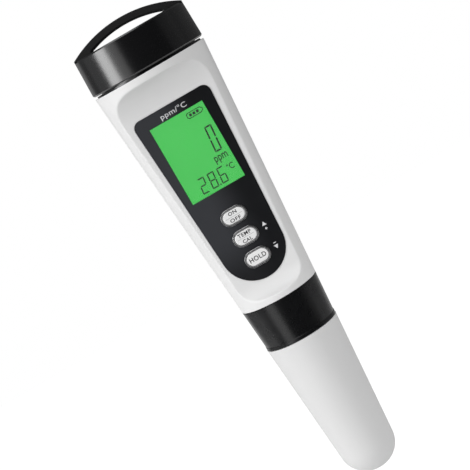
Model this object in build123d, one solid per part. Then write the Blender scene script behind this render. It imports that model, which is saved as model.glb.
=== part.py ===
from build123d import *
import math
import os

# Pen-type chlorine meter, in millimetres. +Z runs up the barrel and the display faces -Y.
# The origin is the tip of the protective cap, on the barrel's axis.

# The skin of housing, collar and protective cap is one long cone
shoulder_radius = 20.8
foot_radius = 9.1
wall = 2.0

# Clearances: between turning or sliding pieces, in glued joints and between faces that meet
running_gap = 0.3
bond_gap = 0.05
face_gap = 0.05

# Faceplate, display window and keys, measured down the flat from the shoulder
label_top = 12.9
window_inset = 4.4
window_width = 19.8
window_height = 28.5
window_to_key = 9.9
key_pitch = 8.0
last_key_to_foot = 7.55
foot_land = 7.7
label_border = 4.48
label_taper = 3.3
label_corner = 2.6
label_thickness = 1.1
label_sunk = 0.9
label_fit = 0.1
pane_fit = 0.05
key_names = ("power", "calibrate", "hold")
key_width = 7.8
key_height = 4.4
key_gap = 0.15
key_proud = 0.75
key_dome = 0.4
key_travel = 0.4
key_lip = 0.6
key_lip_thickness = 0.7
key_lip_gap = 0.1
ring_width = 0.6
ring_proud = 0.4
ring_bevel = 0.16

window_top = label_top + window_inset
first_key = window_top + window_height + window_to_key
key_drops = {name: first_key + place * key_pitch for place, name in enumerate(key_names)}
label_length = first_key + (len(key_names) - 1) * key_pitch + last_key_to_foot - label_top
label_half_top = window_width / 2 + label_border

# Lengths of the outer pieces, from the tip upwards
cap_length = 54.7
cap_seam = 0.3
collar_length = 15.2
collar_seam = 0.3
case_length = label_top + label_length + foot_land
neck_flange = 0.6
band_seam = 0.35
band_length = 13.15
loop_rise = 5.6

cap_rim = cap_length
collar_low = cap_rim + cap_seam
collar_top = collar_low + collar_length
case_low = collar_top + collar_seam
case_top = case_low + case_length
flange_top = case_top + neck_flange
band_low = flange_top + band_seam
band_top = band_low + band_length
crest = band_top + loop_rise
skin_taper = (shoulder_radius - foot_radius) / case_top

# The flat on the front, its concave run-out at the shoulder and the heel at its foot
flat_depth = 10.05
flat_tilt = 1.15
scoop_radius = 9.7
scoop_land = 2.5
heel_radius = 6.0
heel_land = 2.2
flat_edge_round = 0.7
front_wall = 2.2
flat_distance = shoulder_radius - flat_depth

# Display stack and main board, behind the front wall
glass_margin = 1.4
glass_side_margin = 0.9
glass_thickness = 1.8
glass_gap = 0.2
holder_border = 1.8
holder_fit = 0.1
backlight_thickness = 2.2
zebra_thickness = 1.6
zebra_height = 3.7
board_thickness = 1.6
board_side_margin = 3.8
board_foot_margin = 1.3
board_top_drop = 10.0
board_low_rise = 9.4
chip_size = 7.0
chip_thickness = 0.9
processor_drop = 22.0
amplifier_width = 5.0
amplifier_height = 6.2
amplifier_drop = 46.0
switch_size = 6.0
switch_height = 2.7
plunger_radius = 1.6
plunger_fit = 0.1
plunger_depth = 1.3
screw_radius = 0.9
screw_head_radius = 1.7
screw_head_height = 1.1
screw_inset = 2.0
standoff_radius = 2.0
frame_gap = 1.0
frame_thickness = 1.6
frame_margin = 0.6
frame_beam = 3.4
frame_foot_rise = 1.0
spine_thickness = 1.8

# Battery cap, threaded neck ring and gasket, each set in from the one outside it
band_overhang = 0.15
band_draft = 0.3
band_wall = 1.75
neck_thread_room = 1.0
neck_wall = 1.6
flange_inset = 1.1
spigot_depth = 6.0
gasket_thickness = 1.2
gasket_width = 1.8
cap_ceiling = 2.0
band_edge = 0.5
loop_radius = 42.6
loop_hole_radius = 38.0
loop_hole_rise = 2.75
loop_thickness = 7.4
loop_edge = 0.2
loop_hole_edge = 0.7
band_radius_low = shoulder_radius + band_overhang
band_radius_top = band_radius_low - band_draft
cap_bore_radius = band_radius_top - band_wall
neck_core_radius = cap_bore_radius - neck_thread_room
neck_bore_radius = neck_core_radius - neck_wall

# Button cells and their tray
tray_rim = 3.7
cell_height = 5.4
cell_lid_inset = 0.9
cell_lid_height = 0.5
cell_columns = 2
cells_in_column = 2
cell_clearance = 0.2
well_wall = 0.6
cell_setback = 1.5
tray_floor = 1.5
spring_height = 1.2
spring_thickness = 0.3
spring_overlap = 1.2
strap_thickness = 0.4
strap_width = 7.0
strap_fit = 0.5
lid_thickness = 1.8
finger_notch = 4.0
shelf_inset = 2.0
shelf_clearance = 0.4
shelf_rise = 1.2
tray_radius = neck_bore_radius - running_gap
cell_radius = (tray_radius - tray_rim - well_wall / 2) / 2 - cell_clearance
cell_lid_radius = cell_radius - cell_lid_inset
cell_pitch = 2 * (cell_radius + cell_clearance) + well_wall

# Locking collar, lower neck and sensor module, each set in from the one outside it
collar_wall = 2.1
collar_thread_room = 0.9
collar_lip = 0.9
lower_neck_wall = 1.7
lower_neck_length = 8.3
flange_thickness = 2.5
bead_height = 0.9
bead_proud = 0.2
spigot_length = 13.6
plug_rise = 10.0
nose_shoulder = 3.0
nose_length = 2.4
groove_depth = 0.8
groove_width = 1.4
seal_proud = 0.1
seal_sides = 14
ring_drop_on_plug = 5.0
ring_drop_on_spigot = 8.4
pin_radius = 0.25
pin_pitch = 2.54
pin_count = 4
pin_height = 12.0
socket_depth = 2.4
socket_height = 8.0
socket_hole = 0.35
socket_rise = 0.5

# Probe and its guard, inside the protective cap
cap_skin_extra = 0.3
cap_wall = 1.6
cap_mouth_depth = 9.2
tip_flat = 0.6
guard_tip_gap = 3.8
guard_side_gap = 0.3
guard_wall = 1.1
guard_nose = 1.0
guard_collar_proud = 0.8
guard_shoulder = 2.0
guard_window_width = 7.0
guard_window_rise = 4.1
guard_window_drop = 8.2
probe_radius = 3.0
probe_offset = -2.3
probe_inset = 3.6
probe_grip = 5.0
metal_ring_height = 1.8
metal_ring_rise = 5.0
metal_ring_proud = 0.1
metal_ring_sink = 0.3
sleeve_radius = 1.5
sleeve_offset = 4.2
sleeve_inset = 3.0
junction_radius = 1.1
junction_place = (2.2, 4.6)
junction_length = 2.0
junction_proud = 0.6

# Cuts that run out of the barrel go this far, and others pass what they cut by this much
reach = 40.0
overcut = 1.0


def skin(height):
    """Radius of the long cone at a height above the tip."""
    return shoulder_radius - skin_taper * (case_top - height)


def cap_skin(height):
    return skin(height) + cap_skin_extra


def turned(*corners):
    """Ring or disc turned about the barrel's axis from (radius, height) corners."""
    return revolve(Plane.XZ * make_face(Polyline(*corners, close=True)), Axis.Z)


def tube(outer, inner, low, high):
    if inner <= 0:
        return turned((0, low), (outer, low), (outer, high), (0, high))
    return turned((inner, low), (outer, low), (outer, high), (inner, high))


def peg(radius, x, y, low, high):
    return Pos(x, y, low) * extrude(Circle(radius), amount=high - low)


tilt = math.radians(flat_tilt)
out_of_flat = (0, -math.cos(tilt), -math.sin(tilt))
flat = Plane(origin=(0, -flat_distance, case_top), x_dir=(1, 0, 0), z_dir=out_of_flat)
flat_side = Plane(origin=(0, -flat_distance, case_top), x_dir=out_of_flat, z_dir=(-1, 0, 0))


def on_flat(sketch, inner, outer, drop=0.0, x=0.0):
    """A slab parallel to the flat, from the outward level inner to outer, a drop below the shoulder."""
    return flat * Pos(x, -drop, inner) * extrude(sketch, amount=outer - inner)


def scoop(back):
    """All that lies in front of the flat and its run-outs, moved back into the barrel."""
    high = -scoop_land - scoop_radius
    low = -(case_length - heel_land - heel_radius)
    top_arc = CenterArc((scoop_radius, high), scoop_radius + back, 180, -90)
    heel_arc = CenterArc((heel_radius, low), heel_radius + back, 270, -90)
    edges = [
        Line((-back, low), (-back, high)),
        top_arc,
        Line((scoop_radius, high + scoop_radius + back), (reach, high + scoop_radius + back)),
        Line((reach, high + scoop_radius + back), (reach, low - heel_radius - back)),
        Line((reach, low - heel_radius - back), (heel_radius, low - heel_radius - back)),
        heel_arc,
    ]
    return extrude(flat_side * make_face(edges), amount=reach, both=True)


def label_outline(grow=0.0):
    """Tapered plate with a round foot, as a face whose top edge lies at the label's top."""
    slope = math.radians(label_taper)
    half_low = label_half_top - label_length * math.tan(slope)
    foot = half_low / (1 / math.cos(slope) - math.tan(slope))
    touch_x = foot * math.cos(slope)
    touch_y = -label_length + foot * (1 - math.sin(slope))
    plate = make_face(
        Polyline(
            (-label_half_top, 0),
            (label_half_top, 0),
            (touch_x, touch_y),
            (-touch_x, touch_y),
            close=True,
        )
    )
    plate = plate + Pos(0, -label_length + foot) * Circle(foot)
    plate = fillet(plate.vertices().sort_by(Axis.Y)[-2:], label_corner)
    if grow:
        plate = offset(plate, grow, kind=Kind.ARC)
    return plate


def window_outline(grow=0.0):
    return Rectangle(window_width + 2 * grow, window_height + 2 * grow)


window_drop = window_top + window_height / 2
key_hole = SlotOverall(key_width + 2 * key_gap, key_height + 2 * key_gap)
glass_width = window_width + 2 * glass_side_margin
glass_height = window_height + 2 * glass_margin
glass_front = label_sunk + glass_gap
glass_back = glass_front + glass_thickness
board_front = glass_back + zebra_height
switch_front = board_front - switch_height
plunger_front = front_wall + key_lip_gap + key_lip_thickness
ceiling = band_top - cap_ceiling
neck_top = ceiling - gasket_thickness - 2 * face_gap
lower_neck_end = case_low - lower_neck_length
collar_bore = skin(collar_top) - collar_wall
lower_neck_core = collar_bore - collar_thread_room
lower_neck_bore = lower_neck_core - lower_neck_wall


def hollow(gap=0.0):
    """The room inside the housing, smaller by a gap on every side but its floor and its top."""
    floor = case_low + wall
    radius_low = skin(floor) - wall - gap
    radius_top = shoulder_radius - wall - gap
    room = turned((0, floor), (radius_low, floor), (radius_top, case_top), (0, case_top))
    return room - scoop(front_wall + gap)


def housing():
    """White tapered tube with the flat, both necks' seats and the openings behind the faceplate."""
    body = turned((0, case_low), (skin(case_low), case_low), (shoulder_radius, case_top), (0, case_top))
    body -= scoop(0)
    rims = [e for e in body.edges() if e.geom_type not in (GeomType.LINE, GeomType.CIRCLE)]
    body = fillet(rims, flat_edge_round)
    body += tube(lower_neck_core, 0, lower_neck_end, case_low + wall)
    seat = tube(shoulder_radius - wall, 0, case_top - spigot_depth, case_top) - scoop(front_wall)
    body -= hollow() + seat
    body -= tube(lower_neck_bore, 0, lower_neck_end, case_low + wall)
    body -= on_flat(label_outline(label_fit), -label_sunk, heel_radius, label_top)
    glass_hole = Rectangle(glass_width + 2 * holder_fit, glass_height + 2 * holder_fit)
    body -= on_flat(glass_hole, -front_wall - overcut, 0, window_drop)
    for drop in key_drops.values():
        body -= on_flat(key_hole, -front_wall - overcut, 0, drop)
    return body


def faceplate():
    plate = on_flat(label_outline(), -label_sunk, label_thickness - label_sunk, label_top)
    plate -= on_flat(window_outline(pane_fit), -front_wall, front_wall, window_drop)
    for drop in key_drops.values():
        plate -= on_flat(key_hole, -front_wall, front_wall, drop)
    return plate


def display_window():
    return on_flat(window_outline(), -label_sunk, label_thickness - label_sunk, window_drop)


def key_ring(drop):
    """Silver rim glued round a key's hole, with both upper edges bevelled."""
    outer = SlotOverall(
        key_width + 2 * (key_gap + ring_width), key_height + 2 * (key_gap + ring_width)
    )
    ring = extrude(outer - key_hole, amount=ring_proud)
    ring = chamfer(ring.edges().group_by(Axis.Z)[-1], ring_bevel)
    return flat * Pos(0, -drop, label_thickness - label_sunk) * ring


def key(drop):
    """Key with a domed top, and a lip behind the wall that keeps it from falling out."""
    stem_back = -front_wall - key_lip_gap
    stem = extrude(SlotOverall(key_width, key_height), amount=key_proud - stem_back)
    stem = fillet(stem.edges().group_by(Axis.Z)[-1], key_dome)
    lip = extrude(SlotOverall(key_width + 2 * key_lip, key_height + 2 * key_lip), amount=-key_lip_thickness)
    return flat * Pos(0, -drop, stem_back) * (stem + lip)


def switch_body(drop):
    case = on_flat(Rectangle(switch_size, switch_size), -board_front, -switch_front, drop)
    depth = plunger_depth + key_travel + plunger_fit
    bore = on_flat(Circle(plunger_radius + plunger_fit), -switch_front - depth, -switch_front, drop)
    return case - bore


def switch_plunger(drop):
    return on_flat(Circle(plunger_radius), -switch_front - plunger_depth, -plunger_front, drop)


def lcd_glass():
    return on_flat(Rectangle(glass_width, glass_height), -glass_back, -glass_front, window_drop)


def lcd_holder():
    """Black frame behind the wall that holds glass, light panel and rubber connectors on the board."""
    border = 2 * holder_border
    block = on_flat(
        Rectangle(glass_width + border, glass_height + border),
        -board_front,
        -front_wall - holder_fit,
        window_drop,
    )
    pocket = Rectangle(glass_width + 2 * holder_fit, glass_height + 2 * holder_fit)
    return (block & hollow(holder_fit)) - on_flat(pocket, -board_front, 0, window_drop)


def backlight_panel():
    height = glass_height - 2 * (zebra_thickness + 2 * holder_fit)
    back = glass_back + backlight_thickness
    return on_flat(Rectangle(glass_width, height), -back, -glass_back, window_drop)


def zebra_strip(side):
    """Striped rubber connector pressed between the glass's edge and the board."""
    place = window_drop - side * (glass_height - zebra_thickness) / 2
    return on_flat(Rectangle(window_width, zebra_thickness), -board_front, -glass_back, place)


board_height = case_length - board_top_drop - board_low_rise
board_half_top = shoulder_radius - wall - board_side_margin
board_half_low = skin(case_low) - wall - board_foot_margin
board_back = board_front + board_thickness
frame_front = board_back + frame_gap
frame_back = frame_front + frame_thickness


def board_outline(grow=0.0):
    corners = [
        (-board_half_top - grow, 0),
        (board_half_top + grow, 0),
        (board_half_low + grow, -board_height),
        (-board_half_low - grow, -board_height),
    ]
    return make_face(Polyline(*corners, close=True))


screw_places = [
    (side * (half - screw_inset), drop)
    for half, drop in (
        (board_half_top, board_top_drop + screw_inset),
        (board_half_low, board_top_drop + board_height - screw_inset),
    )
    for side in (-1, 1)
]


def main_board():
    board = on_flat(board_outline(), -board_back, -board_front, board_top_drop)
    for x, drop in screw_places:
        board -= on_flat(Circle(screw_radius + plunger_fit), -board_back, -board_front, drop, x)
    return board


def chip(width, height, drop, x=0.0):
    """A chip soldered to the back of the board."""
    return on_flat(Rectangle(width, height), -board_back - chip_thickness, -board_back, drop, x)


def frame_screws():
    """Four pan-head screws through the board into the inner frame."""
    screws = []
    for x, drop in screw_places:
        head = on_flat(
            Circle(screw_head_radius), -board_front, -board_front + screw_head_height, drop, x
        )
        shank = on_flat(Circle(screw_radius), -frame_back, -board_front, drop, x)
        screws.append(head + shank)
    return Compound(children=screws)


shelf_low = case_top - board_top_drop + shelf_rise
shelf_high = shelf_low + tray_floor
tray_low = shelf_high
well_floor = tray_low + tray_floor
cells_low = well_floor + spring_height
cells_high = cells_low + cells_in_column * cell_height
strap_top = cells_high + strap_thickness
tray_top = strap_top


def inner_frame():
    """Skeleton behind the board, standing on the housing's floor and carrying the battery tray."""
    plate = on_flat(board_outline(frame_margin), -frame_back, -frame_front, board_top_drop)
    inside = board_outline(-frame_beam)
    plate -= on_flat(inside, -frame_back, -frame_front, board_top_drop)
    for x, drop in screw_places:
        plate += on_flat(Circle(standoff_radius), -frame_back, -board_back, drop, x)
    spine_y = -flat_distance + frame_front
    bar_drop = board_top_drop + board_height / 2
    plate += on_flat(Rectangle(2 * board_half_low, frame_beam), -frame_back, -frame_front, bar_drop)
    low = case_low + board_low_rise + frame_foot_rise
    shelf = tube(shoulder_radius - wall - shelf_inset - shelf_clearance, 0, shelf_low, shelf_high)
    shelf -= scoop(front_wall + running_gap)
    rib_height = shelf_low - low
    rib_depth = skin(low) - wall - running_gap - spine_y
    rib = Pos(0, spine_y + rib_depth / 2, low + rib_height / 2) * Box(spine_thickness, rib_depth, rib_height)
    rib -= on_flat(inside, -frame_back + frame_thickness / 2, reach, board_top_drop)
    legs = case_low + wall + face_gap
    plate += shelf
    plate += rib
    for side in (-1, 1):
        x = side * (board_half_low - frame_beam / 2)
        y = spine_y + frame_thickness
        height = low + frame_beam - legs
        plate += Pos(x, y, legs + height / 2) * Box(frame_beam / 2, frame_thickness, height)
    for x, drop in screw_places:
        plate -= on_flat(Circle(screw_radius), -frame_back, -board_front, drop, x)
    return plate - socket_space()


def battery_tray():
    """Round black tray with two wells, each for a stack of button cells."""
    tray = tube(tray_radius, 0, tray_low, tray_top)
    tray -= scoop(front_wall + running_gap)
    for column in range(cell_columns):
        x = column_x(column)
        tray -= peg(cell_radius + cell_clearance, x, cell_setback, well_floor, tray_top)
    bridge = Pos(0, cell_setback, tray_top) * Box(cell_pitch, strap_width, 2 * strap_thickness)
    return tray - bridge


def column_x(column):
    return (column - (cell_columns - 1) / 2) * cell_pitch


def button_cell(column, level):
    """Alkaline button cell, can downwards in one column and upwards in the other."""
    can = turned(
        (0, 0),
        (cell_radius, 0),
        (cell_radius, cell_height - cell_lid_height),
        (cell_lid_radius, cell_height - cell_lid_height),
        (cell_lid_radius, cell_height),
        (0, cell_height),
    )
    if column % 2:
        can = Pos(0, 0, cell_height) * Rot(180, 0, 0) * can
    return Pos(column_x(column), cell_setback, cells_low + level * cell_height) * can


def cell_spring(column):
    """Leaf contact at the foot of a well, bent up in the middle to press on the lowest cell."""
    foot = cell_radius + spring_overlap
    lift = spring_height - spring_thickness
    leaf = make_face(
        Polyline(
            (-foot / 2, 0),
            (-foot / 6, lift),
            (foot / 6, lift),
            (foot / 2, 0),
            (foot / 2, spring_thickness),
            (foot / 6, spring_height),
            (-foot / 6, spring_height),
            (-foot / 2, spring_thickness),
            close=True,
        )
    )
    spring = extrude(Plane.XZ * leaf, amount=cell_lid_radius / 2, both=True)
    return Pos(column_x(column), cell_setback, well_floor) * spring


def cell_strap():
    """Strap that joins the tops of the two stacks."""
    length = cell_pitch + cell_radius
    height = cells_high + strap_thickness / 2
    return Pos(0, cell_setback, height) * Box(length, strap_width - 2 * strap_fit, strap_thickness)


def battery_lid():
    """Disc over the cells, with a finger notch at each side."""
    lid = tube(tray_radius, 0, tray_top, tray_top + lid_thickness)
    for side in (-1, 1):
        lid -= peg(finger_notch, side * tray_radius, cell_setback, tray_top, tray_top + lid_thickness)
    return lid


def neck_ring():
    """Black ring bonded into the shoulder: a flange, a spigot and the neck that the cap screws on."""
    flange = tube(shoulder_radius - flange_inset, neck_bore_radius, case_top, flange_top)
    neck = tube(neck_core_radius, neck_bore_radius, case_top, neck_top)
    spigot = tube(
        shoulder_radius - wall - bond_gap, neck_bore_radius, case_top - spigot_depth, case_top
    )
    return flange + neck + spigot - scoop(front_wall + bond_gap)


def cap_gasket():
    low = neck_top + face_gap
    outer = neck_core_radius
    return tube(outer, outer - gasket_width, low, low + gasket_thickness)


def battery_cap():
    """Screw cap with an arched lanyard loop standing across its top."""
    cap = turned(
        (0, ceiling),
        (cap_bore_radius, ceiling),
        (cap_bore_radius, band_low),
        (band_radius_low - band_edge, band_low),
        (band_radius_low, band_low + band_edge),
        (band_radius_top, band_top - band_edge),
        (band_radius_top - band_edge, band_top),
        (0, band_top),
    )
    arch_low = band_top - band_edge
    arch = Pos(0, crest - loop_radius) * Circle(loop_radius)
    arch &= Pos(0, arch_low + loop_radius) * Rectangle(4 * band_radius_top, 2 * loop_radius)
    hole = Pos(0, band_top + loop_hole_rise - loop_hole_radius) * Circle(loop_hole_radius)
    hole &= Pos(0, band_top + loop_radius) * Rectangle(4 * band_radius_top, 2 * loop_radius)
    hole = fillet(hole.vertices(), loop_edge)
    loop = extrude(Plane.XZ * arch, amount=loop_thickness / 2, both=True)
    loop &= tube(band_radius_top, 0, arch_low, crest + overcut)
    loop -= extrude(Plane.XZ * hole, amount=loop_thickness, both=True)
    wide = offset(hole, loop_hole_edge, kind=Kind.ARC)
    for side in (-1, 1):
        face = Plane(origin=(0, side * loop_thickness / 2, 0), x_dir=(side, 0, 0), z_dir=(0, -side, 0))
        mouth = wide if side < 0 else mirror(wide, Plane.YZ)
        loop -= extrude(face * mouth, amount=loop_hole_edge, taper=45)
    return cap + loop


def plug_groove(outer, centre):
    low = centre - groove_width / 2
    return tube(outer + overcut, outer - groove_depth, low, low + groove_width)


plug_top = lower_neck_end + plug_rise
flange_high = lower_neck_end - face_gap
flange_low = flange_high - flange_thickness
spigot_end = flange_low - spigot_length
nose_end = spigot_end - nose_length
plug_radius = lower_neck_bore - running_gap
flange_radius = collar_bore - running_gap
collar_lip_bore = collar_bore - collar_lip
spigot_radius = collar_lip_bore - running_gap
nose_radius = spigot_radius - nose_shoulder
guard_radius = cap_skin(0) - cap_wall - guard_side_gap
guard_tip = cap_wall + guard_tip_gap
probe_tip = guard_tip + probe_inset
sleeve_tip = probe_tip + sleeve_inset
socket_low = case_low + board_low_rise + socket_rise
back_of_board = (board_back + (case_top - socket_low) * math.sin(tilt)) / math.cos(tilt) - flat_distance
pin_offset = back_of_board + face_gap + socket_depth / 2
plug_ring = plug_top - ring_drop_on_plug
spigot_ring = flange_low - ring_drop_on_spigot


def sensor_body():
    """Plug, clamping flange and spigot of the exchangeable sensor, with bores for what it holds."""
    body = turned(
        (0, plug_top),
        (plug_radius, plug_top),
        (plug_radius, flange_high),
        (flange_radius, flange_high),
        (flange_radius, flange_low),
        (spigot_radius, flange_low),
        (spigot_radius, spigot_end),
        (nose_radius, spigot_end),
        (nose_radius, nose_end),
        (0, nose_end),
    )
    body -= plug_groove(plug_radius, plug_ring)
    body -= plug_groove(spigot_radius, spigot_ring)
    body -= peg(probe_radius + bond_gap, probe_offset, 0, nose_end, nose_end + probe_grip)
    body -= peg(sleeve_radius + bond_gap, sleeve_offset, 0, nose_end, nose_end + probe_grip)
    x, y = junction_place
    body -= peg(junction_radius, x, y, nose_end, nose_end + junction_length)
    return body


def seal_ring(outer, centre):
    """O-ring lying in its groove, a little proud of it."""
    radius = (groove_depth + seal_proud) / 2
    section = Pos(outer - groove_depth + radius, centre) * RegularPolygon(radius, seal_sides)
    return revolve(Plane.XZ * section, Axis.Z)


def sensor_pins():
    pins = []
    for place in range(pin_count):
        x = (place - (pin_count - 1) / 2) * pin_pitch
        pins.append(peg(pin_radius, x, pin_offset, plug_top, plug_top + pin_height))
    return Compound(children=pins)


def socket_space():
    """Room round the socket and the sensor's pins, open downwards."""
    width = pin_count * pin_pitch + 2 * shelf_clearance
    high = socket_low + socket_height + shelf_clearance
    height = high - case_low
    return Pos(0, pin_offset, case_low + height / 2) * Box(width, 2 * socket_depth, height)


def board_socket():
    """Four-way socket on the back of the board that takes the sensor's pins."""
    low = socket_low
    length = pin_count * pin_pitch
    block = Pos(0, pin_offset, low + socket_height / 2) * Box(length, socket_depth, socket_height)
    for place in range(pin_count):
        x = (place - (pin_count - 1) / 2) * pin_pitch
        block -= peg(socket_hole, x, pin_offset, low, low + socket_height)
    return block


def probe_glass():
    """Glass tube with a round end and a seat for its metal ring."""
    tip = probe_tip + probe_radius
    top = nose_end + probe_grip
    glass = peg(probe_radius, 0, 0, tip, top) + Pos(0, 0, tip) * Sphere(probe_radius)
    low = probe_tip + metal_ring_rise
    glass -= tube(probe_radius + overcut, probe_radius - metal_ring_sink, low, low + metal_ring_height)
    return Pos(probe_offset, 0, 0) * glass


def metal_ring():
    low = probe_tip + metal_ring_rise
    ring = tube(
        probe_radius + metal_ring_proud, probe_radius - metal_ring_sink, low, low + metal_ring_height
    )
    return Pos(probe_offset, 0, 0) * ring


def temperature_sleeve():
    tip = sleeve_tip + sleeve_radius
    sleeve = peg(sleeve_radius, 0, 0, tip, nose_end + probe_grip) + Pos(0, 0, tip) * Sphere(sleeve_radius)
    return Pos(sleeve_offset, 0, 0) * sleeve


def reference_junction():
    x, y = junction_place
    return peg(junction_radius, x, y, nose_end - junction_proud, nose_end + junction_length)


def sensor_guard():
    """Open cage round the probe: four posts between an upper collar and an end ring."""
    bore = guard_radius - guard_wall
    collar = nose_radius + guard_collar_proud
    floor = nose_end - guard_nose
    guard = turned(
        (nose_radius + bond_gap, spigot_end),
        (collar, spigot_end),
        (collar, floor),
        (guard_radius, floor - guard_shoulder),
        (guard_radius, guard_tip + guard_nose),
        (guard_radius - guard_nose, guard_tip),
        (bore - guard_nose, guard_tip),
        (bore, guard_tip + guard_nose),
        (bore, floor),
        (nose_radius + bond_gap, floor),
    )
    low = guard_tip + guard_window_rise
    height = nose_end - guard_window_drop - low
    window = Pos(0, 0, low + height / 2) * Box(guard_window_width, reach, height)
    guard -= window
    return guard - Rot(0, 0, 90) * window


def locking_collar():
    """Black screw collar that clamps the sensor's flange against the lower neck."""
    lip_top = flange_low - face_gap
    foot = skin(collar_low)
    return turned(
        (collar_lip_bore, collar_low),
        (foot + bead_proud, collar_low),
        (foot + bead_proud, collar_low + bead_height),
        (skin(collar_low + bead_height), collar_low + bead_height + bead_proud),
        (skin(collar_top), collar_top),
        (collar_bore, collar_top),
        (collar_bore, lip_top),
        (collar_lip_bore, lip_top),
    )


def round_ended(rim, grow, tip, mouth):
    """A turned cone that closes downwards in a large round, shrunk by grow on every side."""
    foot_radius = cap_skin(tip) - grow
    solid = turned((0, tip), (foot_radius, tip), (cap_skin(mouth) - grow, mouth), (0, mouth))
    foot = solid.edges().filter_by(GeomType.CIRCLE).sort_by(Axis.Z)[0]
    return fillet(foot, rim)


def protective_cap():
    """White cap pushed over the sensor's spigot, closed in a round tip."""
    lean = math.atan(skin_taper)
    tip_round = (cap_skin(0) - tip_flat) / (1 / math.cos(lean) - math.tan(lean))
    cap = round_ended(tip_round, 0, 0, cap_rim)
    hollow = round_ended(tip_round - cap_wall, cap_wall, cap_wall, cap_rim)
    mouth = tube(spigot_radius + running_gap, 0, cap_rim - cap_mouth_depth, cap_rim)
    return cap - hollow - mouth


parts = {
    "housing": housing(),
    "faceplate": faceplate(),
    "display_window": display_window(),
    "lcd_glass": lcd_glass(),
    "lcd_holder": lcd_holder(),
    "backlight_panel": backlight_panel(),
    "zebra_strip_upper": zebra_strip(1),
    "zebra_strip_lower": zebra_strip(-1),
    "main_board": main_board(),
    "processor_chip": chip(chip_size, chip_size, board_top_drop + processor_drop),
    "amplifier_chip": chip(amplifier_width, amplifier_height, board_top_drop + amplifier_drop),
    "board_socket": board_socket(),
    "inner_frame": inner_frame(),
    "frame_screws": frame_screws(),
    "battery_tray": battery_tray(),
    "cell_strap": cell_strap(),
    "battery_lid": battery_lid(),
    "neck_ring": neck_ring(),
    "cap_gasket": cap_gasket(),
    "battery_cap": battery_cap(),
    "sensor_body": sensor_body(),
    "sensor_pins": sensor_pins(),
    "plug_o_ring": seal_ring(plug_radius, plug_ring),
    "spigot_o_ring": seal_ring(spigot_radius, spigot_ring),
    "probe_glass": probe_glass(),
    "metal_ring": metal_ring(),
    "temperature_sleeve": temperature_sleeve(),
    "reference_junction": reference_junction(),
    "sensor_guard": sensor_guard(),
    "locking_collar": locking_collar(),
    "protective_cap": protective_cap(),
}
for name, drop in key_drops.items():
    parts[f"key_{name}"] = key(drop)
    parts[f"key_ring_{name}"] = key_ring(drop)
    parts[f"switch_body_{name}"] = switch_body(drop)
    parts[f"switch_plunger_{name}"] = switch_plunger(drop)
for column in range(cell_columns):
    parts[f"cell_spring_{column + 1}"] = cell_spring(column)
    for level in range(cells_in_column):
        number = column * cells_in_column + level + 1
        parts[f"button_cell_{number}"] = button_cell(column, level)

os.makedirs("parts", exist_ok=True)
for name, shape in parts.items():
    export_step(shape, f"parts/{name}.step")
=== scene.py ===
import math

import bmesh
import bpy
from mathutils import Matrix, Vector


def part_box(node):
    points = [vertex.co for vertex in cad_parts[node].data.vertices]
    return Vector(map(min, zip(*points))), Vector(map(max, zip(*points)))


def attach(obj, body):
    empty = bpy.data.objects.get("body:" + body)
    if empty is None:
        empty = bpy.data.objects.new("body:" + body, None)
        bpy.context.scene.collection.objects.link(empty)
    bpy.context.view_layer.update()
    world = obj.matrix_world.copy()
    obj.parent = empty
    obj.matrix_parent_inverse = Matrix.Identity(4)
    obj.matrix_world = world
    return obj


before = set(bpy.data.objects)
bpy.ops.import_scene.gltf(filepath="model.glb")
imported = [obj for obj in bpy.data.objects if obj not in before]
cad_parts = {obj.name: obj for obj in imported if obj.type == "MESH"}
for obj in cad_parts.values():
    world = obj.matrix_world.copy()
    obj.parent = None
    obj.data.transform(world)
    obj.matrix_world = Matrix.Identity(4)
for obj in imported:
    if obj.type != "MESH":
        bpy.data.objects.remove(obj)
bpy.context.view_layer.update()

# Housing
# The real one is a single white tube of satin ABS, moulded with its flat, its run-out and the
# seat for the faceplate. The threaded lower neck is part of it.
MM = 0.001
SHELL_WHITE = (0.80, 0.80, 0.80)


def new_material(name):
    material = bpy.data.materials.new(name)
    material.use_nodes = True
    tree = material.node_tree
    return material, tree, tree.nodes["Principled BSDF"]


def grain(tree, size, detail=4.0, stretch=(1, 1, 1)):
    """Noise in the meter's own coordinates, with features of about the size given in metres."""
    place = tree.nodes.new("ShaderNodeTexCoord")
    scale = tree.nodes.new("ShaderNodeMapping")
    scale.inputs["Scale"].default_value = [s / size for s in stretch]
    noise = tree.nodes.new("ShaderNodeTexNoise")
    noise.inputs["Scale"].default_value = 1.0
    noise.inputs["Detail"].default_value = detail
    tree.links.new(place.outputs["Object"], scale.inputs["Vector"])
    tree.links.new(scale.outputs["Vector"], noise.inputs["Vector"])
    return noise.outputs["Fac"]


def spread(tree, value, low, high):
    """Maps the middle of a noise to a range."""
    fit = tree.nodes.new("ShaderNodeMapRange")
    fit.inputs["From Min"].default_value = 0.3
    fit.inputs["From Max"].default_value = 0.7
    fit.inputs["To Min"].default_value = low
    fit.inputs["To Max"].default_value = high
    tree.links.new(value, fit.inputs["Value"])
    return fit.outputs["Result"]


def blend_colours(tree, value, first, second):
    mix = tree.nodes.new("ShaderNodeMix")
    mix.data_type = "RGBA"
    mix.inputs["A"].default_value = [*first, 1]
    mix.inputs["B"].default_value = [*second, 1]
    tree.links.new(value, mix.inputs["Factor"])
    return mix.outputs["Result"]


def mottle(tree, value, colour, change):
    """Colour that wanders a little round the one given."""
    darker = [c * (1 - change) for c in colour]
    lighter = [min(1, c * (1 + change)) for c in colour]
    return blend_colours(tree, value, darker, lighter)


def rough_skin(tree, shader, value, strength, depth):
    bump = tree.nodes.new("ShaderNodeBump")
    bump.inputs["Strength"].default_value = strength
    bump.inputs["Distance"].default_value = depth
    tree.links.new(value, bump.inputs["Height"])
    tree.links.new(bump.outputs["Normal"], shader.inputs["Normal"])


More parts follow.
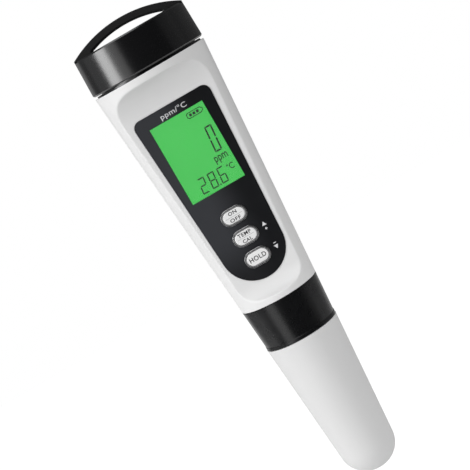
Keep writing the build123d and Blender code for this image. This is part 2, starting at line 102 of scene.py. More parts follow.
def plastic_skin(name, colour, texture, specular, change):
    """Moulded plastic before any polish: fine spark-eroded texture and faint flow marks."""
    material, tree, shader = new_material(name)
    flow = grain(tree, 9 * MM, 3.0, (1, 1, 0.4))
    tree.links.new(mottle(tree, flow, colour, change), shader.inputs["Base Color"])
    rough_skin(tree, shader, grain(tree, 0.16 * MM, 2.0), texture, 0.02 * MM)
    shader.inputs["Specular IOR Level"].default_value = specular
    return material, tree, shader


def moulded_plastic(name, colour, roughness, texture=0.08, specular=0.5, change=0.02):
    """Moulded plastic with the small differences in gloss that handling leaves."""
    material, tree, shader = plastic_skin(name, colour, texture, specular, change)
    polish = spread(tree, grain(tree, 3 * MM), roughness * 0.92, roughness * 1.08)
    tree.links.new(polish, shader.inputs["Roughness"])
    return material


def dress(material, *nodes):
    for node in nodes:
        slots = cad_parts[node].data.materials
        slots.clear()
        slots.append(material)


def new_piece(name, mesh, material, body, place=Matrix()):
    """Adds a piece, seats it and lets it ride on its body."""
    mesh.materials.clear()
    mesh.materials.append(material)
    piece = bpy.data.objects.new(name, mesh)
    bpy.context.scene.collection.objects.link(piece)
    piece.matrix_world = place
    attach(piece, body)


def thread(name, root, crest, low, high, pitch):
    """Right-hand screw thread as a closed ridge that fades out at both ends."""
    steps_per_turn = 96
    fade = 0.12
    foot = 0.28 * pitch
    top = 0.12 * pitch
    buried = root + math.copysign(0.05 * MM, root - crest)
    steps = int((high - low) / pitch * steps_per_turn)
    mesh = bpy.data.meshes.new(name)
    shape = bmesh.new()
    rings = []
    for step in range(steps + 1):
        share = step / steps
        grow = max(0.02, min(1, share / fade, (1 - share) / fade))
        angle = 2 * math.pi * step / steps_per_turn
        height = low + pitch * step / steps_per_turn
        tip = root + (crest - root) * grow
        ring = []
        for radius, rise in ((buried, -foot), (tip, -top), (tip, top), (buried, foot)):
            point = (radius * math.cos(angle), radius * math.sin(angle), height + rise * grow)
            ring.append(shape.verts.new(point))
        rings.append(ring)
    for one, other in zip(rings, rings[1:]):
        for side in range(4):
            after = (side + 1) % 4
            shape.faces.new((one[side], one[after], other[after], other[side]))
    shape.faces.new(rings[0])
    shape.faces.new(rings[-1])
    bmesh.ops.recalc_face_normals(shape, faces=shape.faces)
    shape.to_mesh(mesh)
    shape.free()
    return mesh


white_shell = moulded_plastic("white_shell", SHELL_WHITE, 0.38)
dress(white_shell, "housing")

COLLAR_PITCH = 2 * MM
THREAD_MARGIN = 1.0 * MM
LOWER_NECK_RADIUS = 11.33 * MM
COLLAR_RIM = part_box("locking_collar")[1][2]
lower_thread_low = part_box("housing")[0][2] + THREAD_MARGIN
lower_thread_high = COLLAR_RIM - THREAD_MARGIN
lower_ridge = thread(
    "lower_neck_thread", LOWER_NECK_RADIUS, LOWER_NECK_RADIUS + 0.5 * MM,
    lower_thread_low, lower_thread_high, COLLAR_PITCH,
)
new_piece("lower_neck_thread", lower_ridge, white_shell, "case")

# Inner frame, battery tray and display holder
# Black glass-filled nylon with a dull skin. Four zinc-plated screws hold the main board to the
# frame.
frame_black = moulded_plastic("frame_black", (0.03, 0.03, 0.032), 0.5, 0.15)
dress(frame_black, "inner_frame", "battery_tray", "battery_lid", "lcd_holder")


def plated(name, colour, roughness, change=0.05):
    """Bright metal with small differences in tarnish and polish."""
    material, tree, shader = new_material(name)
    tree.links.new(mottle(tree, grain(tree, 1 * MM), colour, change), shader.inputs["Base Color"])
    polish = spread(tree, grain(tree, 0.6 * MM), roughness * 0.8, roughness * 1.2)
    tree.links.new(polish, shader.inputs["Roughness"])
    shader.inputs["Metallic"].default_value = 1.0
    return material


dress(plated("screw_zinc", (0.62, 0.62, 0.60), 0.35), "frame_screws")

# Main board
# Fibreglass board under green solder mask, whose copper traces stand out a little. The chips,
# the socket and the three key switches are soldered to it.
SOLDER_MASK = (0.015, 0.10, 0.045)
TRACES_PER_METRE = (450, 450, 200)
TRACE_SHARE = 0.09
COPPER_GAIN = 1.9


def circuit_board(name):
    """Solder mask over copper: the traces are a lighter, slightly raised network."""
    material, tree, shader = new_material(name)
    place = tree.nodes.new("ShaderNodeTexCoord")
    scale = tree.nodes.new("ShaderNodeMapping")
    scale.inputs["Scale"].default_value = TRACES_PER_METRE
    network = tree.nodes.new("ShaderNodeTexVoronoi")
    network.feature = "DISTANCE_TO_EDGE"
    network.inputs["Scale"].default_value = 1.0
    trace = tree.nodes.new("ShaderNodeMath")
    trace.operation = "LESS_THAN"
    trace.inputs[1].default_value = TRACE_SHARE
    tree.links.new(place.outputs["Object"], scale.inputs["Vector"])
    tree.links.new(scale.outputs["Vector"], network.inputs["Vector"])
    tree.links.new(network.outputs["Distance"], trace.inputs[0])
    over_copper = [c * COPPER_GAIN for c in SOLDER_MASK]
    colour = blend_colours(tree, trace.outputs["Value"], SOLDER_MASK, over_copper)
    tree.links.new(colour, shader.inputs["Base Color"])
    tree.links.new(spread(tree, grain(tree, 2 * MM), 0.28, 0.36), shader.inputs["Roughness"])
    rough_skin(tree, shader, trace.outputs["Value"], 0.3, 0.03 * MM)
    return material


KEYS = ("power", "calibrate", "hold")
dress(circuit_board("board_green"), "main_board")
chip_black = moulded_plastic("chip_black", (0.02, 0.02, 0.021), 0.55, 0.2)
dress(chip_black, "processor_chip", "amplifier_chip", "board_socket")
plunger_grey = moulded_plastic("plunger_grey", (0.12, 0.12, 0.125), 0.45)
for key in KEYS:
    dress(chip_black, "switch_body_" + key)
    dress(plunger_grey, "switch_plunger_" + key)

# Display cell, light panel and connectors
# A liquid crystal cell over a green light panel, with striped rubber connectors that carry its
# signals up from the board. The holder presses them together.
SHINE_GREEN = (0.041, 0.62, 0.078)


def lit_cell(name, colour, strength):
    material, tree, shader = new_material(name)
    cloud = spread(tree, grain(tree, 14 * MM, 2.0), 0.0, 1.0)
    tree.links.new(mottle(tree, cloud, colour, 0.03), shader.inputs["Emission Color"])
    unlit = [0.1 * c for c in colour]
    tree.links.new(mottle(tree, cloud, unlit, 0.05), shader.inputs["Base Color"])
    shader.inputs["Emission Strength"].default_value = strength
    shader.inputs["Roughness"].default_value = 0.45
    rough_skin(tree, shader, grain(tree, 0.2 * MM), 0.05, 0.01 * MM)
    return material


dress(lit_cell("display_green", SHINE_GREEN, 0.79), "lcd_glass")
dress(lit_cell("light_panel", SHINE_GREEN, 0.8), "backlight_panel")


LAYERS_SCALE = 260


def striped_rubber(name):
    """Rubber connector of thin conducting and clear layers."""
    material, tree, shader = new_material(name)
    place = tree.nodes.new("ShaderNodeTexCoord")
    layers = tree.nodes.new("ShaderNodeTexWave")
    layers.bands_direction = "X"
    layers.inputs["Scale"].default_value = LAYERS_SCALE
    tree.links.new(place.outputs["Object"], layers.inputs["Vector"])
    colour = blend_colours(tree, layers.outputs["Fac"], (0.02, 0.02, 0.02), (0.25, 0.24, 0.23))
    tree.links.new(colour, shader.inputs["Base Color"])
    shader.inputs["Roughness"].default_value = 0.6
    return material


dress(striped_rubber("connector_rubber"), "zebra_strip_upper", "zebra_strip_lower")

# Display figures
# Slanted seven-segment figures, units and the battery sign, all generic. They are dark areas of
# liquid crystal, made here as thin slabs on the front of the cell.
FLAT_TILT = math.radians(1.15)
FLAT_DISTANCE = 10.75 * MM
NECK_FLANGE = 0.6 * MM
BAND_SEAM = 0.35 * MM
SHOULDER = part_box("battery_cap")[0][2] - BAND_SEAM - NECK_FLANGE
FIGURE_LEVEL = -1.1
FIGURE_THICK = 0.03
WINDOW_TOP = 17.3
SLANT = math.tan(math.radians(5.0))
SEGMENTS = {"0": "abcdef", "2": "abged", "6": "afgedc", "8": "abcdefg"}

up_flat = Vector((0, -math.sin(FLAT_TILT), math.cos(FLAT_TILT)))
out_of_flat = Vector((0, -math.cos(FLAT_TILT), -math.sin(FLAT_TILT)))
flat_turn = Matrix((Vector((1, 0, 0)), up_flat, out_of_flat)).transposed().to_4x4()
flat_start = Matrix.Translation((0, -FLAT_DISTANCE, SHOULDER)) @ flat_turn


def on_flat(across, drop, level):
    """Place on the flat in millimetres: across, down from the shoulder, and outwards."""
    return flat_start @ Matrix.Translation(Vector((across, -drop, level)) * MM)


figure_dark = moulded_plastic("figure_dark", (0.004, 0.014, 0.006), 0.5, 0.02, 0.2, 0.3)


def slab(name, outlines, thick):
    """Outlines in millimetres, each raised to a thin solid plate."""
    mesh = bpy.data.meshes.new(name)
    shape = bmesh.new()
    for outline in outlines:
        low = [shape.verts.new((x * MM, y * MM, 0)) for x, y in outline]
        high = [shape.verts.new((x * MM, y * MM, thick * MM)) for x, y in outline]
        shape.faces.new(high)
        shape.faces.new(low)
        for here in range(len(outline)):
            after = (here + 1) % len(outline)
            shape.faces.new((low[here], low[after], high[after], high[here]))
    bmesh.ops.recalc_face_normals(shape, faces=shape.faces)
    shape.to_mesh(mesh)
    shape.free()
    return mesh


def digit(figure, x, width, height, stroke, gap):
    """Segment outlines of a figure that leans to the right, from its lower left corner at x."""
    half = height / 2
    bevel = stroke / 2
    inside = stroke + gap
    bars = {
        "a": [(gap, height), (width - gap, height), (width - inside, height - stroke),
              (inside, height - stroke)],
        "d": [(inside, stroke), (width - inside, stroke), (width - gap, 0), (gap, 0)],
        "g": [(bevel + gap, half), (inside, half + bevel), (width - inside, half + bevel),
              (width - bevel - gap, half), (width - inside, half - bevel), (inside, half - bevel)],
        "f": [(0, height - gap), (stroke, height - inside), (stroke, half + gap + bevel),
              (bevel, half + gap), (0, half + gap + bevel)],
        "e": [(0, gap), (0, half - gap - bevel), (bevel, half - gap),
              (stroke, half - gap - bevel), (stroke, inside)],
    }
    bars["b"] = [(width - px, py) for px, py in bars["f"]]
    bars["c"] = [(width - px, py) for px, py in bars["e"]]
    outlines = []
    for segment in SEGMENTS[figure]:
        outlines.append([(x + px + py * SLANT, py) for px, py in bars[segment]])
    return outlines


def on_display(name, mesh, across, drop):
    place = on_flat(across, WINDOW_TOP + drop, FIGURE_LEVEL)
    new_piece(name, mesh, figure_dark, "case", place)


READING = {"width": 2.62, "height": 9.2, "stroke": 0.55, "gap": 0.1}
READING_LEFT = 5.2
READING_FOOT = 17.28
reading = digit("0", 0, **READING)
on_display("figure_reading", slab("figure_reading", reading, FIGURE_THICK), READING_LEFT, READING_FOOT)

TEMPERATURE = {"width": 2.45, "height": 5.55, "stroke": 0.44, "gap": 0.06}
TEMPERATURE_PITCH = 3.66
TEMPERATURE_LEFT = -5.2
TEMPERATURE_FOOT = 27.5
temperature = []
for number, figure in enumerate("286"):
    temperature += digit(figure, number * TEMPERATURE_PITCH, **TEMPERATURE)
POINT = 2 * TEMPERATURE_PITCH - 0.6
temperature.append([(POINT - 0.25, 0), (POINT + 0.25, 0), (POINT + 0.28, 0.5), (POINT - 0.22, 0.5)])
figures = slab("figure_temperature", temperature, FIGURE_THICK)
on_display("figure_temperature", figures, TEMPERATURE_LEFT, TEMPERATURE_FOOT)

# The battery sign is an outline with a blunt point at its right, round three blocks.
SIGN_LONG = 6.0
SIGN_HALF = 1.05
SIGN_LINE = 0.26
SIGN_LEFT = 2.9
SIGN_MIDDLE = 2.3
BLOCK = 0.92
BLOCK_PITCH = 1.3
BLOCK_START = 0.95
CORNER = 0.5
NOSE_LONG = 0.9
NOSE_HALF = 0.35
SIGN_OUTLINE = (
    (CORNER, SIGN_HALF), (SIGN_LONG - NOSE_LONG, SIGN_HALF), (SIGN_LONG, NOSE_HALF),
    (SIGN_LONG, -NOSE_HALF), (SIGN_LONG - NOSE_LONG, -SIGN_HALF), (CORNER, -SIGN_HALF),
    (0, CORNER - SIGN_HALF), (0, SIGN_HALF - CORNER),
)
sign_inside = []
for x, y in SIGN_OUTLINE:
    across = SIGN_LONG / 2 + (x - SIGN_LONG / 2) * (1 - 2 * SIGN_LINE / SIGN_LONG)
    sign_inside.append((across, y * (1 - SIGN_LINE / SIGN_HALF)))
battery_sign = []
for here in range(len(SIGN_OUTLINE)):
    after = (here + 1) % len(SIGN_OUTLINE)
    battery_sign.append([SIGN_OUTLINE[here], SIGN_OUTLINE[after], sign_inside[after], sign_inside[here]])
for number in range(3):
    left = BLOCK_START + BLOCK_PITCH * number
    right = left + BLOCK
    battery_sign.append([(left, -BLOCK / 2), (right, -BLOCK / 2), (right, BLOCK / 2), (left, BLOCK / 2)])
on_display("battery_sign", slab("battery_sign", battery_sign, FIGURE_THICK), SIGN_LEFT, SIGN_MIDDLE)


def word(name, text, width, height, thick, bold=0.0, spacing=1.0):
    """Plain sans letters as a mesh, fitted to a size and centred on their middle."""
    letters = bpy.data.curves.new(name, "FONT")
    letters.body = text
    letters.offset = bold
    letters.extrude = 0.5
    letters.space_character = spacing
    letters.resolution_u = 4
    holder = bpy.data.objects.new(name, letters)
    bpy.context.scene.collection.objects.link(holder)
    drawn = holder.evaluated_get(bpy.context.evaluated_depsgraph_get())
    mesh = bpy.data.meshes.new_from_object(drawn)
    bpy.data.objects.remove(holder)
    bpy.data.curves.remove(letters)
    shape = bmesh.new()
    shape.from_mesh(mesh)
    bmesh.ops.remove_doubles(shape, verts=shape.verts, dist=0.0001)
    for axis, size in enumerate((width * MM, height * MM, thick * MM)):
        low = min(vert.co[axis] for vert in shape.verts)
        high = max(vert.co[axis] for vert in shape.verts)
        for vert in shape.verts:
            vert.co[axis] = ((vert.co[axis] - low) / (high - low) - 0.5) * size
    for vert in shape.verts:
        vert.co.z += thick * MM / 2
    shape.to_mesh(mesh)
    shape.free()
    return mesh


for name, text, wide, tall, bold, across, drop in (
    ("unit_ppm", "ppm", 4.75, 2.75, 0.012, 6.1, 19.75),
    ("unit_celsius", "C", 1.65, 2.1, 0.008, 7.7, 23.5),
):
    on_display(name, word(name, text, wide, tall, FIGURE_THICK, bold), across, drop)
DEGREE_SIDES = 20
DEGREE_RADIUS = 0.36
DEGREE_HOLE = 0.17
degree = []
for side in range(DEGREE_SIDES):
    turns = (2 * math.pi * side / DEGREE_SIDES, 2 * math.pi * (side + 1) / DEGREE_SIDES)
    outside = [(DEGREE_RADIUS * math.cos(turn), DEGREE_RADIUS * math.sin(turn)) for turn in turns]
    inside = [(DEGREE_HOLE * math.cos(turn), DEGREE_HOLE * math.sin(turn)) for turn in reversed(turns)]
    degree.append(outside + inside)
on_display("unit_degree", slab("unit_degree", degree, FIGURE_THICK), 6.35, 22.8)

# Faceplate
# A black polycarbonate plate with a satin front, glued in its seat in the flat. Its colour carries a
# painted reflection: lighter and bluish towards its left edge, fading to black towards its right and its
# foot.
# It carries white printing above the display and beside the keys.
LABEL_TOP = 12.9
PLATE_FRONT = 0.2
PRINT_THICK = 0.02
# Painted reflection: the plate's colour is lighter and bluish at its left and fades to black at its
# right and towards its foot.
PLATE_PAINTED_SHEEN = (0.039, 0.041, 0.048)
PLATE_DEEP = (0.0065, 0.0070, 0.0092)
PLATE_SHEEN_FOOT = (0.0125, 0.0130, 0.0155)
SHEEN_FADE_FROM = -6 * MM
SHEEN_FADE_TO = 8 * MM
FOOT_FROM = 60 * MM
FOOT_TO = 78 * MM


def plate_painted_sheen(name):
    """Black plate with a painted reflection: lighter towards its left edge, black towards its right and
    foot.
    """
    material, tree, shader = new_material(name)
    place = tree.nodes.new("ShaderNodeTexCoord")
    split = tree.nodes.new("ShaderNodeSeparateXYZ")
    tree.links.new(place.outputs["Object"], split.inputs["Vector"])
    across = tree.nodes.new("ShaderNodeMapRange")
    across.interpolation_type = "SMOOTHSTEP"
    across.inputs["From Min"].default_value = SHEEN_FADE_FROM
    across.inputs["From Max"].default_value = SHEEN_FADE_TO
    tree.links.new(split.outputs["X"], across.inputs["Value"])
    down = tree.nodes.new("ShaderNodeMapRange")
    down.interpolation_type = "SMOOTHSTEP"
    down.inputs["From Min"].default_value = SHOULDER - FOOT_FROM
    down.inputs["From Max"].default_value = SHOULDER - FOOT_TO
    tree.links.new(split.outputs["Z"], down.inputs["Value"])
    # The painted reflection fades downwards on the left, then across to the black right side.
    left = blend_colours(tree, down.outputs["Result"], PLATE_PAINTED_SHEEN, PLATE_SHEEN_FOOT)
    colour = blend_colours(tree, across.outputs["Result"], PLATE_PAINTED_SHEEN, PLATE_DEEP)
    tree.links.new(left, colour.node.inputs["A"])
    tree.links.new(colour, shader.inputs["Base Color"])
    tree.links.new(spread(tree, grain(tree, 5 * MM), 0.40, 0.46), shader.inputs["Roughness"])
    rough_skin(tree, shader, grain(tree, 0.12 * MM, 2.0), 0.08, 0.01 * MM)
    return material


dress(plate_painted_sheen("faceplate_black"), "faceplate")
print_white = moulded_plastic("print_white", (0.72, 0.72, 0.74), 0.45, 0.1)


def on_plate(name, mesh, across, drop):
    new_piece(name, mesh, print_white, "case", on_flat(across, drop, PLATE_FRONT))


TITLE_WIDTH = 9.6
TITLE_HEIGHT = 2.35
TITLE_DROP = 2.75
title = word("title", "ppm/°C", TITLE_WIDTH, TITLE_HEIGHT, PRINT_THICK, 0.006, 1.05)
on_plate("title", title, 0.1, LABEL_TOP + TITLE_DROP)

MARK_X = 7.25
ARM = 0.42
BAR = 0.13
TRIANGLE = ((-0.8, 0), (0.8, 0), (0, 1.4))
PLUS = (
    (-ARM, -BAR), (-BAR, -BAR), (-BAR, -ARM), (BAR, -ARM), (BAR, -BAR), (ARM, -BAR),
    (ARM, BAR), (BAR, BAR), (BAR, ARM), (-BAR, ARM), (-BAR, BAR), (-ARM, BAR),
)
MINUS_ARM = 0.5
MINUS = ((-MINUS_ARM, -BAR), (MINUS_ARM, -BAR), (MINUS_ARM, BAR), (-MINUS_ARM, BAR))
DOWNWARDS = [(x, -y) for x, y in TRIANGLE]
for mark, outline, drop in (
    ("mark_up", TRIANGLE, 63.6), ("mark_plus", PLUS, 64.75),
    ("mark_minus", MINUS, 70.35), ("mark_down", DOWNWARDS, 71.15),
):
    on_plate(mark, slab(mark, [outline], PRINT_THICK), MARK_X, drop)

# Display window
# A clear acrylic pane, flush with the faceplate and bonded into its opening.


def clear_pane(name, colour, haze):
    material, tree, shader = new_material(name)
    tint = mottle(tree, grain(tree, 6 * MM), colour, 0.01)
    tree.links.new(tint, shader.inputs["Base Color"])
    shader.inputs["Transmission Weight"].default_value = 1.0
    shader.inputs["IOR"].default_value = 1.45
    tree.links.new(spread(tree, grain(tree, 4 * MM), 0.0, haze), shader.inputs["Roughness"])
    return material


dress(clear_pane("clear_window", (0.98, 0.99, 0.985), 0.02), "display_window")

# Keys and their rims
# Three glossy white ABS keys with dark printed words, each in a chromed rim that is glued round
# its hole. The words ride with their key.
key_white = moulded_plastic("key_white", (0.86, 0.86, 0.86), 0.25, 0.03)
rim_chrome = plated("rim_chrome", (0.60, 0.60, 0.61), 0.3)
word_grey = moulded_plastic("word_grey", (0.035, 0.035, 0.037), 0.5, 0.1)
divider_grey = moulded_plastic("divider_grey", (0.35, 0.35, 0.36), 0.5, 0.1)
KEY_TOP = 0.75
KEY_DROPS = {"power": 55.7, "calibrate": 63.7, "hold": 71.7}
KEY_WORDS = {
    "power": (("ON", 3.0, 1.25, 1.22), ("OFF", 3.9, 1.25, -1.15)),
    "calibrate": (("TEMP", 4.9, 1.3, 1.12), ("CAL", 3.45, 1.3, -1.2)),
    "hold": (("HOLD", 6.1, 1.65, 0.0),),
}
REACH = 3.1
THIN = 0.05
DIVIDER = ((-REACH, -THIN), (REACH, -THIN), (REACH, THIN), (-REACH, THIN))
for key in KEYS:
    body = "key_" + key
    dress(key_white, body)
    dress(rim_chrome, "key_ring_" + key)
    for text, wide, tall, rise in KEY_WORDS[key]:
        name = "word_" + text.lower()
        lettering = word(name, text, wide, tall, PRINT_THICK, 0.016, 1.1)
        place = on_flat(0, KEY_DROPS[key] - rise, KEY_TOP)
        new_piece(name, lettering, word_grey, body, place)
    if len(KEY_WORDS[key]) == 2:
        name = "divider_" + key
        stripe = slab(name, [DIVIDER], PRINT_THICK)
        new_piece(name, stripe, divider_grey, body, on_flat(0, KEY_DROPS[key], KEY_TOP))

# Neck ring
# Black semi-gloss ABS with the thread for the battery cap, bonded into the housing's shoulder.
# Its flange shows as the fine line between housing and cap.
SHELL_BLACK = (0.0032, 0.0034, 0.0042)
BLACK_FINISH = {"texture": 0.03, "specular": 1.0, "change": 0.1}
black_shell = moulded_plastic("black_shell", SHELL_BLACK, 0.23, **BLACK_FINISH)
dress(black_shell, "neck_ring")
CAP_PITCH = 3 * MM
NECK_RADIUS = 17.9 * MM
NECK_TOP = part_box("neck_ring")[1][2]
neck_thread_low = SHOULDER + NECK_FLANGE + 1.6 * MM
neck_thread_high = NECK_TOP - THREAD_MARGIN
neck_ridge = thread(
    "neck_thread", NECK_RADIUS, NECK_RADIUS + 0.6 * MM, neck_thread_low, neck_thread_high, CAP_PITCH
)
new_piece("neck_thread", neck_ridge, black_shell, "case")

# Battery cap and gasket
# A screw cap of the same black ABS, moulded in one with the arched lanyard loop. Its own thread
# runs in the grooves of the neck's, and a flat rubber gasket seals it.
CAP_BORE = 18.9 * MM
BAND_POLISH = 0.23
CAP_IOR = 1.6
POLISH_EDGE = 0.3 * MM
LOOP_POLISH = 0.5
LOOP_RISE = 5.6 * MM
BAND_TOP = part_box("battery_cap")[1][2] - LOOP_RISE


def half_polished(name):
    """The cap's band is polished, and its loop keeps the mould's dull texture."""
    material, tree, shader = plastic_skin(name, SHELL_BLACK, **BLACK_FINISH)
    shader.inputs["IOR"].default_value = CAP_IOR
    place = tree.nodes.new("ShaderNodeTexCoord")
    split = tree.nodes.new("ShaderNodeSeparateXYZ")
    height = tree.nodes.new("ShaderNodeMapRange")
    height.inputs["From Min"].default_value = BAND_TOP
    height.inputs["From Max"].default_value = BAND_TOP + POLISH_EDGE
    height.inputs["To Min"].default_value = BAND_POLISH
    height.inputs["To Max"].default_value = LOOP_POLISH
    tree.links.new(place.outputs["Object"], split.inputs["Vector"])
    tree.links.new(split.outputs["Z"], height.inputs["Value"])
    tree.links.new(height.outputs["Result"], shader.inputs["Roughness"])
    return material


cap_black = half_polished("cap_black")
dress(cap_black, "battery_cap")
cap_ridge = thread(
    "cap_thread", CAP_BORE, CAP_BORE - 0.7 * MM,
    neck_thread_low + CAP_PITCH / 2, neck_thread_high, CAP_PITCH,
)
new_piece("cap_thread", cap_ridge, cap_black, "cap")
seal_rubber = moulded_plastic("seal_rubber", (0.018, 0.018, 0.018), 0.62, 0.25)
dress(seal_rubber, "cap_gasket")

# Button cells and their contacts
# Four nickel-plated cells, held between phosphor bronze springs and a strap across their tops.
dress(plated("cell_steel", (0.66, 0.66, 0.65), 0.28), *["button_cell_%d" % n for n in range(1, 5)])
contact_brass = plated("contact_brass", (0.72, 0.53, 0.24), 0.3)
dress(contact_brass, "cell_spring_1", "cell_spring_2", "cell_strap")

# Sensor body and seals
# The exchangeable module. Its flange is clamped by the locking collar, O-rings seal its plug and
# its spigot, and four gilt pins enter the socket on the board.
sensor_black = moulded_plastic("sensor_black", (0.012, 0.012, 0.013), 0.4, 0.1)
dress(sensor_black, "sensor_body")
dress(seal_rubber, "plug_o_ring", "spigot_o_ring")
dress(plated("pin_gilt", (0.83, 0.62, 0.22), 0.22), "sensor_pins")

# Probe and guard
# A glass tube with a platinum ring, a steel temperature sleeve and a porous junction stand in an
# open cage of the body's black plastic.
dress(clear_pane("probe_glass", (0.96, 0.98, 0.98), 0.03), "probe_glass")
dress(plated("probe_metal", (0.70, 0.69, 0.67), 0.2), "metal_ring", "temperature_sleeve")
ceramic = moulded_plastic("junction_ceramic", (0.70, 0.68, 0.62), 0.85, 0.4, 0.3, 0.06)
dress(ceramic, "reference_junction")
dress(sensor_black, "sensor_guard")

# Locking collar
# Black ABS from a slightly duller mould than the cap. It screws on the housing's lower neck and
# lifts the sensor's flange against it.
COLLAR_BORE = 12.23 * MM
collar_black = moulded_plastic("collar_black", SHELL_BLACK, 0.28, **BLACK_FINISH)
dress(collar_black, "locking_collar")
collar_ridge = thread(
    "collar_thread", COLLAR_BORE, COLLAR_BORE - 0.55 * MM,
    lower_thread_low + COLLAR_PITCH / 2, lower_thread_high - COLLAR_PITCH / 2, COLLAR_PITCH,
)
new_piece("collar_thread", collar_ridge, collar_black, "collar")

# Protective cap
# White polypropylene, pushed over the sensor's spigot. Its white is a painted shade, darker than the
# housing's, to offset the stronger lamp light that falls on it.
# Painted shade: a darker white than the housing's, against the key lamp's light on the cap.
cap_white_painted_shade = moulded_plastic("cap_white_painted_shade", (0.73, 0.73, 0.73), 0.42)
dress(cap_white_painted_shade, "protective_cap")

# Camera
# A long lens, level with the battery cap and looking down a little, rolled so that the meter
# leans across the picture.
AXIS_DISTANCE = 553 * MM
CAMERA_AZIMUTH = math.radians(1.2)
CAMERA_HEIGHT = 164.35 * MM
LOOK_DOWN = math.radians(7.174)
PAN = math.radians(0.327)
ROLL = math.radians(30.157)
PICTURE = 470
FOCAL_PIXELS = 1646

camera_data = bpy.data.cameras.new("camera")
camera_data.lens = FOCAL_PIXELS * camera_data.sensor_width / PICTURE
camera = bpy.data.objects.new("camera", camera_data)
bpy.context.scene.collection.objects.link(camera)
stand = Vector((math.sin(CAMERA_AZIMUTH), -math.cos(CAMERA_AZIMUTH), 0)) * AXIS_DISTANCE
heading = math.atan2(-stand.y, -stand.x) + PAN
stand.z = CAMERA_HEIGHT
ahead = Vector((math.cos(heading), math.sin(heading), 0)) * math.cos(LOOK_DOWN)
ahead.z = -math.sin(LOOK_DOWN)
level_right = Vector((math.sin(heading), -math.cos(heading), 0))
level_up = level_right.cross(ahead)
right = level_right * math.cos(ROLL) - level_up * math.sin(ROLL)
up = level_right * math.sin(ROLL) + level_up * math.cos(ROLL)
turn = Matrix((right, up, -ahead)).transposed().to_4x4()
camera.matrix_world = Matrix.Translation(stand) @ turn
bpy.context.scene.camera = camera
bpy.context.scene.view_settings.view_transform = "Standard"

# Lamps
# Softboxes stand mostly to the meter's left, the strongest a little above its middle, with a
# weaker one overhead. A faint spot points at the protective cap.
MIDDLE = Vector((0, 0, 0.09))


def set_up(data, azimuth, elevation, distance, target):
    """Stands a lamp round the meter: azimuth rightwards from its front, elevation upwards."""
    a = math.radians(azimuth)
    e = math.radians(elevation)
    arm = Vector((math.sin(a) * math.cos(e), -math.cos(a) * math.cos(e), math.sin(e)))
    light = bpy.data.objects.new(data.name, data)
    bpy.context.scene.collection.objects.link(light)
    light.location = MIDDLE + arm * distance
    light.rotation_euler = (light.location - target).to_track_quat("Z", "Y").to_euler()


for name, azimuth, elevation, distance, width, height, power in (
    ("key_softbox", -66, 15, 1.05, 0.45, 0.62, 4.2),
    ("left_panel", -42, -10, 1.0, 0.45, 0.9, 0.86),
    ("side_panel", -100, 0, 1.0, 0.5, 0.9, 0.2),
    ("rear_panel", -150, -5, 1.0, 0.5, 0.9, 0.4),
    ("right_panel", 75, -5, 1.0, 0.6, 0.9, 0.1),
    ("top_panel", -60, 75, 1.0, 0.8, 0.8, 2.6),
    ("front_panel", -20, 45, 1.0, 0.7, 0.5, 0.25),
):
    panel = bpy.data.lights.new(name, "AREA")
    panel.shape = "RECTANGLE"
    panel.size = width
    panel.size_y = height
    panel.energy = power
    set_up(panel, azimuth, elevation, distance, MIDDLE)

spot = bpy.data.lights.new("low_spot", "SPOT")
spot.energy = 8.0
spot.spot_size = math.radians(9)
spot.spot_blend = 1.0
spot.shadow_soft_size = 0.08
set_up(spot, 27, 22, 0.75, Vector((0, 0, 0.02)))

# Floor and room
# A pale floor lies below and behind the meter. The lift to white is only for the camera and for
# what shows through glass: to gloss the room is dim, as the photo's black parts show it.
FLOOR_LEVEL = -150 * MM
FLOOR_FRONT = -0.1
FLOOR_BACK = 1.6
HALF_WIDTH = 0.6
FLOOR_LIFT = 0.5
ROOM_LIGHT = 0.62
SHEEN_FRONT = 0.012
SHEEN_REAR = 0.10
SHEEN_TURN = 0.3


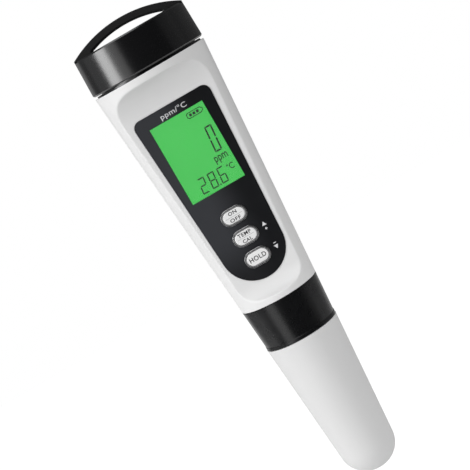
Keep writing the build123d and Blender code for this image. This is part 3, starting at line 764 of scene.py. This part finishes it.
def white_lift(tree, ordinary, white):
    """A strength that is the white one for camera and transmission rays, else the ordinary one."""
    path = tree.nodes.new("ShaderNodeLightPath")
    seen = tree.nodes.new("ShaderNodeMath")
    seen.operation = "MAXIMUM"
    choice = tree.nodes.new("ShaderNodeMix")
    choice.inputs["B"].default_value = white
    tree.links.new(path.outputs["Is Camera Ray"], seen.inputs[0])
    tree.links.new(path.outputs["Is Transmission Ray"], seen.inputs[1])
    tree.links.new(seen.outputs["Value"], choice.inputs["Factor"])
    if ordinary is None:
        choice.inputs["A"].default_value = 0.0
    else:
        tree.links.new(ordinary, choice.inputs["A"])
    return choice.outputs["Result"]


pale_floor, tree, shader = new_material("pale_floor")
tree.links.new(mottle(tree, grain(tree, 0.2), (0.8, 0.8, 0.8), 0.01), shader.inputs["Base Color"])
shader.inputs["Roughness"].default_value = 0.9
shader.inputs["Specular IOR Level"].default_value = 0.0
shader.inputs["Emission Color"].default_value = (1, 1, 1, 1)
tree.links.new(white_lift(tree, None, FLOOR_LIFT), shader.inputs["Emission Strength"])
corners = [
    (-HALF_WIDTH, FLOOR_FRONT, FLOOR_LEVEL), (HALF_WIDTH, FLOOR_FRONT, FLOOR_LEVEL),
    (HALF_WIDTH, FLOOR_BACK, FLOOR_LEVEL), (-HALF_WIDTH, FLOOR_BACK, FLOOR_LEVEL),
]
sheet = bpy.data.meshes.new("floor")
sheet.from_pydata(corners, [], [(0, 1, 2, 3)])
sheet.materials.append(pale_floor)
floor = bpy.data.objects.new("floor", sheet)
bpy.context.scene.collection.objects.link(floor)

room = bpy.data.worlds.new("room")
bpy.context.scene.world = room
room.use_nodes = True
tree = room.node_tree
direction = tree.nodes.new("ShaderNodeTexCoord")
split = tree.nodes.new("ShaderNodeSeparateXYZ")
sheen = tree.nodes.new("ShaderNodeMapRange")
sheen.inputs["From Min"].default_value = -SHEEN_TURN
sheen.inputs["From Max"].default_value = SHEEN_TURN
sheen.inputs["To Min"].default_value = SHEEN_FRONT
sheen.inputs["To Max"].default_value = SHEEN_REAR
path = tree.nodes.new("ShaderNodeLightPath")
by_ray = tree.nodes.new("ShaderNodeMix")
by_ray.inputs["A"].default_value = ROOM_LIGHT
tree.links.new(direction.outputs["Generated"], split.inputs["Vector"])
tree.links.new(split.outputs["Y"], sheen.inputs["Value"])
tree.links.new(path.outputs["Is Glossy Ray"], by_ray.inputs["Factor"])
tree.links.new(sheen.outputs["Result"], by_ray.inputs["B"])
background = tree.nodes["Background"]
background.inputs["Color"].default_value = (1, 1, 1, 1)
tree.links.new(white_lift(tree, by_ray.outputs["Result"], 1.0), background.inputs["Strength"])
